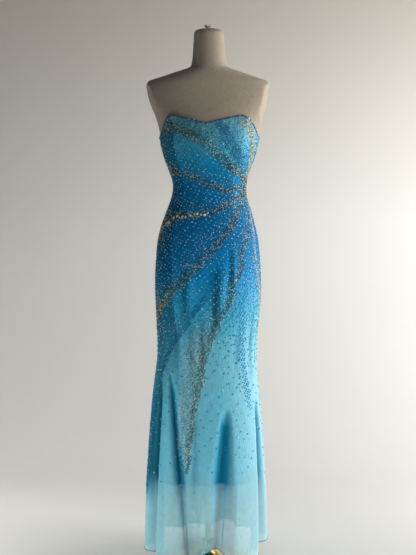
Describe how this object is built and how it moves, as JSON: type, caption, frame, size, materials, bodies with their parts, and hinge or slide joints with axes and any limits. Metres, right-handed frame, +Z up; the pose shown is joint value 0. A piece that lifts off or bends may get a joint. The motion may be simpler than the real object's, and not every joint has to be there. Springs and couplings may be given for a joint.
{
  "type": "mermaid evening dress on a dress form",
  "caption": "Strapless floor-length mermaid gown with a sweetheart neckline and flared sheer hem, displayed on a limbless dress form with a round metal stand",
  "frame": {"origin": "centre of the round base's underside, on the floor under the pole", "axes": "+Z up along the pole; the centre front of the dress faces -Y; +X is to the right of someone who looks at the front"},
  "size_m": [0.3873, 0.3864, 1.668],
  "materials": {
    "beaded_chiffon": "sheer chiffon shaded from royal blue to pale aqua, with glass beads",
    "edging_satin": "dark blue satin binding with small stones",
    "lining_satin": "soft satin lining",
    "zip_nylon": "woven nylon zip tape and coil",
    "zip_enamel": "enamelled zinc in the cloth's blue",
    "form_jersey": "stretched linen-coloured jersey",
    "brass": "polished brass plate"
  },
  "bodies": {
    "gown_and_form": {"front_centre_panel": "beaded_chiffon", "front_side_panel_left": "beaded_chiffon", "front_side_panel_right": "beaded_chiffon", "back_side_panel_left": "beaded_chiffon", "back_side_panel_right": "beaded_chiffon", "back_centre_panel_left": "beaded_chiffon", "back_centre_panel_right": "beaded_chiffon", "neckline_edging": "edging_satin", "lining_front": "lining_satin", "lining_back_right": "lining_satin", "lining_back_left": "lining_satin", "zip_tape": "zip_nylon", "zip_slider": "zip_enamel", "dress_form": "form_jersey", "pole": "brass", "round_base": "brass"},
    "zip_pull_tab": {"zip_pull": "zip_enamel"}
  },
  "joints": [
    {"name": "zip_pull_swing", "type": "hinge", "parent": "gown_and_form", "child": "zip_pull_tab", "pos_m": [0.00399, 0.09828, 1.30571], "axis": [1, 0, 0], "range_deg": [0, 160]}
  ]
}
